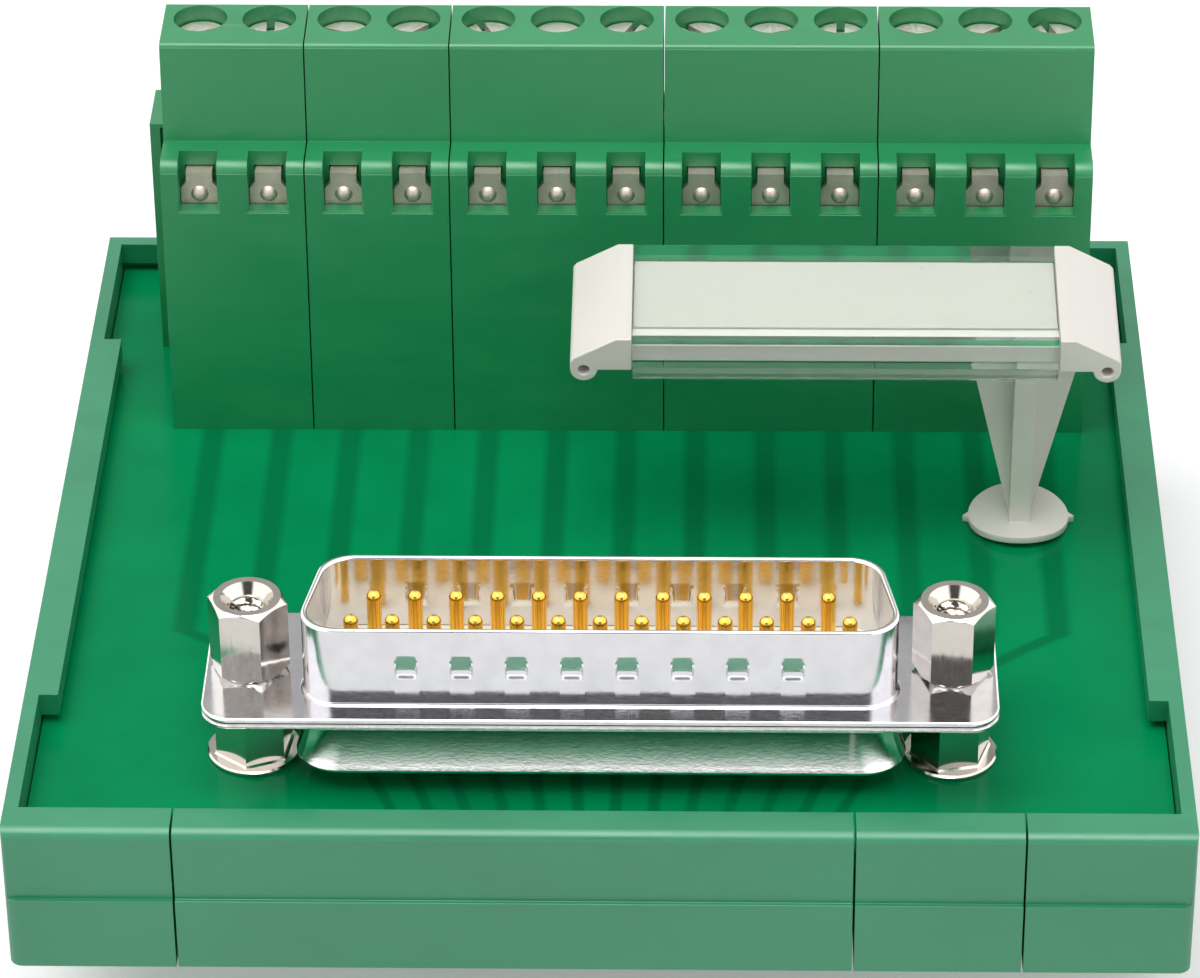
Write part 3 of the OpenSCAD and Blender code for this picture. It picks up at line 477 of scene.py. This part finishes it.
def flange_plate(bottom, top):
    """Flange with rounded corners, a rolled edge, two screw holes and the opening for the wall."""
    outer_w, outer_d = (high("plug_front_shell") - low("plug_front_shell"))[:2]
    corner = 2.0
    count = 96
    def rounded(inset):
        points = []
        w, d, r = outer_w / 2 - inset, outer_d / 2 - inset, corner - inset
        for sx, sy, start in ((1, -1, -90), (1, 1, 0), (-1, 1, 90), (-1, -1, 180)):
            points += arc_points(sx * (w - r), sy * (d - r), r, start, start + 90, count // 4 - 1)
        return [(x, PLUG_Y + y) for x, y in points]
    edge = (top - bottom) * 0.35
    levels = [(edge, bottom), (0.0, bottom + edge), (0.0, top - edge), (edge * 0.3, top - edge * 0.3),
              (edge, top)]
    rings = [[(x, y, z) for x, y in rounded(inset)] for inset, z in levels]
    inner = plug_path(SHELL_SIZE[0] - 1, SHELL_SIZE[1] - 1, SHELL_RADIUS)
    return plate_with_opening(rings, bottom, top, inner)


def plate_with_opening(rings, bottom, top, opening):
    """Closes a rolled edge with flat faces that leave the opening and the jack holes free."""
    verts, faces = loft(rings, closed_tube=False)
    build = bmesh.new()
    for z, ring in ((bottom, rings[0]), (top, rings[-1])):
        flat = bmesh.new()
        loops = [[(x, y) for x, y, _ in ring], [(x, PLUG_Y + y) for x, y in opening]]
        for side in (-1, 1):
            loops.append([(side * JACK_SPACING / 2 + JACK_HOLE * cos(a), PLUG_Y + JACK_HOLE * sin(a))
                          for a in [2 * pi * i / 32 for i in range(32)]])
        for loop in loops:
            made = [flat.verts.new((x, y, z)) for x, y in loop]
            for i, vert in enumerate(made):
                flat.edges.new((vert, made[(i + 1) % len(made)]))
        bmesh.ops.triangle_fill(flat, use_beauty=True, use_dissolve=False, edges=flat.edges[:],
                                normal=(0, 0, 1 if z == top else -1))
        start = len(verts)
        flat.verts.index_update()
        verts += [tuple(v.co) for v in flat.verts]
        faces += [tuple(start + v.index for v in face.verts) for face in flat.faces]
        flat.free()
    build.free()
    return verts, faces


def smooth_by_angle(piece, angle):
    """Marks edges sharper than the angle as sharp, so that shading breaks there."""
    build = bmesh.new()
    build.from_mesh(piece.data)
    bmesh.ops.remove_doubles(build, verts=build.verts, dist=1e-6)
    bmesh.ops.recalc_face_normals(build, faces=build.faces)
    for edge in build.edges:
        edge.smooth = not (edge.is_manifold and edge.calc_face_angle(0) > radians(angle))
    build.to_mesh(piece.data)
    build.free()
    shading = piece.modifiers.new("even shading", "WEIGHTED_NORMAL")
    shading.keep_sharp = True
    shading.weight = 80


def rear_shell():
    """Drawn cup under the flange with a rounded bottom edge, and its own flange plate."""
    box_low, box_high = low("plug_rear_shell"), high("plug_rear_shell")
    top, bottom = box_high[2] - SHEET, box_low[2]
    path = plug_path(*REAR_SIZE, SHELL_RADIUS + 0.6)
    bend, waist = 0.4, 0.57
    tall = top - bottom - 0.9 - bend
    profile = [(0.9, top + 0.1), (0.9, top)]
    profile += [(0.9 - (0.9 + waist) * sin(radians(a)), top - 0.9 * (1 - cos(radians(a))))
                for a in (18, 36, 54, 72, 90)]
    profile += [(-waist * (1 - (i / 8) ** 2), top - 0.9 - tall * i / 8) for i in range(1, 8)]
    profile += [(bend * (cos(radians(a)) - 1), bottom + bend * (1 - sin(radians(a))))
                for a in range(0, 91, 10)]
    profile += [(-bend - 0.1, bottom + SHEET), (-SHEET - 0.5, bottom + 1.2),
                (-SHEET - 0.5, top + 0.1)]
    rings = []
    for offset, z in profile:
        grow = (REAR_SIZE[0] / 2 + offset) / (REAR_SIZE[0] / 2)
        deep = (REAR_SIZE[1] / 2 + offset) / (REAR_SIZE[1] / 2)
        rings.append([(x * grow, PLUG_Y + y * deep, z) for x, y in path])
    verts, faces = loft(rings)
    plate_verts, plate_faces = flange_plate(top, top + SHEET - 0.04)
    faces += [tuple(i + len(verts) for i in face) for face in plate_faces]
    piece = finish_piece("plug_rear_shell_drawn", mesh_from("rear shell", verts + plate_verts, faces),
                         REAR, stands_for=["plug_rear_shell"])
    smooth_by_angle(piece, 20)


# HEXAGONAL SCREWS

def hex_radius(angle, turn):
    """Radius of a hexagon in a direction, with a corner at the angle turn."""
    sector = (degrees(angle) - turn) % 60 - 30
    return HEX_AF / 2 / cos(radians(sector))


def jackscrew_mesh(x, turn):
    """Hexagon with chamfered corners, a collar below and a threaded hole with a countersink."""
    base, top = high("plug_front_shell")[2] - SHELL_TALL, high("jackscrews")[2]
    count = 96
    angles = [2 * pi * i / count + radians(turn) for i in range(count)]
    apothem = HEX_AF / 2
    flat_r = apothem * 0.95
    rings = []
    def ring(radius_of, z_of):
        rings.append([(x + radius_of(a) * cos(a), PLUG_Y + radius_of(a) * sin(a), z_of(a))
                      for a in angles])
    def cone(a, corner_drop):
        return (hex_radius(a, turn) - flat_r) * corner_drop
    stud = high("board_screws")[2] + 0.4
    ring(lambda a: STUD_R, lambda a: stud)
    ring(lambda a: STUD_R, lambda a: base + 0.01)
    ring(lambda a: apothem - 0.12, lambda a: base + 0.01)
    ring(lambda a: apothem - 0.02, lambda a: base + 0.12)
    ring(lambda a: min(hex_radius(a, turn), apothem + 0.03), lambda a: base + 0.16)
    ring(lambda a: hex_radius(a, turn), lambda a: base + 0.16 + cone(a, 0.62))
    ring(lambda a: hex_radius(a, turn), lambda a: top - cone(a, 0.62) - 0.06)
    ring(lambda a: hex_radius(a, turn) - 0.05, lambda a: top - cone(a, 0.62))
    ring(lambda a: flat_r, lambda a: top)
    ring(lambda a: THREAD_R + 0.53, lambda a: top)
    ring(lambda a: THREAD_R + 0.49, lambda a: top - 0.05)
    ring(lambda a: THREAD_R + 0.03, lambda a: top - 0.75)
    rows = 56
    deep = 3.4
    for row in range(rows + 1):
        z = top - 0.75 - deep * row / rows
        def radius_of(a, z=z):
            phase = (z / THREAD_PITCH - a / (2 * pi)) % 1
            return THREAD_R - 0.2 + 0.4 * abs(phase - 0.5)
        ring(radius_of, lambda a, z=z: z)
    ring(lambda a: 0.2, lambda a: top - 1.1 - deep)
    verts, faces = loft(rings, closed_tube=False)
    verts += [(x, PLUG_Y, stud), (x, PLUG_Y, top - 1.1 - deep)]
    last = len(rings) * count - count
    for i in range(count):
        j = (i + 1) % count
        faces.append((j, i, len(verts) - 2))
        faces.append((last + i, last + j, len(verts) - 1))
    return verts, faces


def spacer_mesh(x, turn):
    """Hexagonal spacer on a thin round foot."""
    base = low("plug_spacers")[2]
    top = high("plug_spacers")[2]
    count = 96
    foot_r = (high("plug_spacers")[1] - low("plug_spacers")[1]) / 2
    angles = [2 * pi * i / count + radians(turn) for i in range(count)]
    levels = [(lambda a: 1.5, base), (lambda a: foot_r - 0.08, base), (lambda a: foot_r, base + 0.1),
              (lambda a: foot_r, base + 0.28), (lambda a: foot_r - 0.12, base + 0.4),
              (lambda a: hex_radius(a, turn) + 0.12, base + 0.42),
              (lambda a: hex_radius(a, turn) - 0.03, base + 0.55),
              (lambda a: hex_radius(a, turn) - 0.03, top - 0.05),
              (lambda a: hex_radius(a, turn) - 0.15, top), (lambda a: 1.5, top)]
    rings = [[(x + r(a) * cos(a), PLUG_Y + r(a) * sin(a), z) for a in angles] for r, z in levels]
    return loft(rings)


def pair_piece(name, build, node, turns):
    """One piece that holds a left and a right copy of what build makes, each with its turn."""
    verts, faces = build(-JACK_SPACING / 2, turns[0])
    more_verts, more_faces = build(JACK_SPACING / 2, turns[1])
    faces += [tuple(i + len(verts) for i in face) for face in more_faces]
    piece = finish_piece(name, mesh_from(name, verts + more_verts, faces), HEX,
                         stands_for=[node])
    smooth_by_angle(piece, 24)


# CAMERA, LIGHTS AND FLOOR

def add_camera():
    data = bpy.data.cameras.new("camera")
    data.sensor_width = SENSOR_WIDTH
    data.sensor_fit = "HORIZONTAL"
    data.lens = CAMERA_FOCAL
    data.clip_start = 0.01
    data.clip_end = 20.0
    camera = bpy.data.objects.new("camera", data)
    turn = (Matrix.Rotation(radians(-CAMERA_AZIMUTH), 4, "Z")
            @ Matrix.Rotation(radians(90 - CAMERA_ELEVATION), 4, "X")
            @ Matrix.Rotation(radians(CAMERA_ROLL), 4, "Z"))
    camera.matrix_world = Matrix.Translation(Vector(CAMERA_PLACE) * MM) @ turn
    bpy.context.scene.collection.objects.link(camera)
    bpy.context.scene.camera = camera


def add_lamp(name, place, target, size, watts, mirrored=True):
    """A soft square lamp; place and target in metres."""
    data = bpy.data.lights.new(name, "AREA")
    data.shape = "RECTANGLE"
    data.size, data.size_y = size
    data.energy = watts
    lamp = bpy.data.objects.new(name, data)
    lamp.location = place
    aim = Vector(target) - Vector(place)
    lamp.rotation_euler = aim.to_track_quat("-Z", "Y").to_euler()
    lamp.visible_glossy = mirrored
    bpy.context.scene.collection.objects.link(lamp)


def add_world():
    """White studio round the object, with the dark side where the photographer stands."""
    world = bpy.data.worlds.new("studio")
    bpy.context.scene.world = world
    world.use_nodes = True
    tree = world.node_tree
    tree.nodes.clear()

    def node(kind, **settings):
        made = tree.nodes.new(kind)
        for key, value in settings.items():
            setattr(made, key, value)
        return made

    def math(operation, first, second):
        made = node("ShaderNodeMath", operation=operation)
        for socket, value in zip(made.inputs, (first, second)):
            if isinstance(value, bpy.types.NodeSocket):
                tree.links.new(value, socket)
            else:
                socket.default_value = value
        return made.outputs[0]

    path = node("ShaderNodeLightPath")
    direction = node("ShaderNodeTexCoord").outputs["Generated"]

    def dimmed(side, reach, level):
        facing = node("ShaderNodeVectorMath", operation="DOT_PRODUCT")
        tree.links.new(direction, facing.inputs[0])
        facing.inputs[1].default_value = Vector(side).normalized()
        near = node("ShaderNodeMapRange", interpolation_type="SMOOTHSTEP")
        tree.links.new(facing.outputs["Value"], near.inputs["Value"])
        for key, number in (("From Min", cos(radians(reach[1]))), ("To Min", 1.0),
                            ("From Max", cos(radians(reach[0]))), ("To Max", level)):
            near.inputs[key].default_value = number
        return near.outputs["Result"]

    # Diffuse rays get a weaker light than mirrored ones, and the camera sees plain white
    glossy = path.outputs["Is Glossy Ray"]
    level = math("ADD", WORLD_FILL, math("MULTIPLY", glossy, WORLD_GLOSS - WORLD_FILL))
    for side in DIM_SIDES:
        level = math("MULTIPLY", level, dimmed(*side))
    # Light that a matt surface gets through the clear cover is no brighter than the rest
    through = math("GREATER_THAN", path.outputs["Is Transmission Ray"],
                   path.outputs["Diffuse Depth"])
    seen = math("MAXIMUM", path.outputs["Is Camera Ray"], through)
    level = math("MAXIMUM", level, seen)
    shown = node("ShaderNodeBackground")
    shown.inputs["Color"].default_value = (1.0, 1.0, 1.0, 1.0)
    tree.links.new(level, shown.inputs["Strength"])
    out = node("ShaderNodeOutputWorld")
    tree.links.new(shown.outputs[0], out.inputs["Surface"])


def add_floor():
    half = 3.0
    mesh = mesh_from("floor", [(-half, -half, 0), (half, -half, 0), (half, half, 0),
                               (-half, half, 0)], [(0, 1, 2, 3)])
    floor = bpy.data.objects.new("floor", mesh)
    floor.location.z = CAD_BOX[0][2] - 0.0002
    bpy.context.scene.collection.objects.link(floor)
    n = Nodes("floor", Roughness=0.9, Specular_IOR_Level=0.1)
    n.colour((0.86, 0.86, 0.86, 1.0))
    path = n.add("ShaderNodeLightPath")
    n.shader.inputs["Emission Color"].default_value = (1.0, 1.0, 1.0, 1.0)
    n.link(n.math("MULTIPLY", path.outputs["Is Camera Ray"], 0.25),
           n.shader.inputs["Emission Strength"])
    mesh.materials.append(n.material)


def add_studio():
    add_world()
    add_floor()
    add_lamp("top softbox", (-0.12, -0.18, 0.75), (0, 0, 0.02), (0.9, 0.6), 6.4)
    add_lamp("front softbox", (0.25, -0.8, 0.45), (0, 0, 0.02), (0.6, 0.5), 1.2, mirrored=False)
    view = bpy.context.scene.view_settings
    view.view_transform = "Standard"


add_camera()
add_studio()
dress_cad_nodes()
for block in range(1, BLOCKS + 1):
    soften(f"terminal_housing_{block}", 0.14)
for part in ("side_element_left", "base_element_wide", "base_element_narrow",
             "side_element_right"):
    soften(part, 0.16)
for part in ("marker_stand", "marker_carrier"):
    soften(part, 0.12)
front_shell()
rear_shell()
pair_piece("jackscrews_threaded", jackscrew_mesh, "jackscrews", JACK_TURNS)
pair_piece("plug_spacers_turned", spacer_mesh, "plug_spacers", SPACER_TURNS)
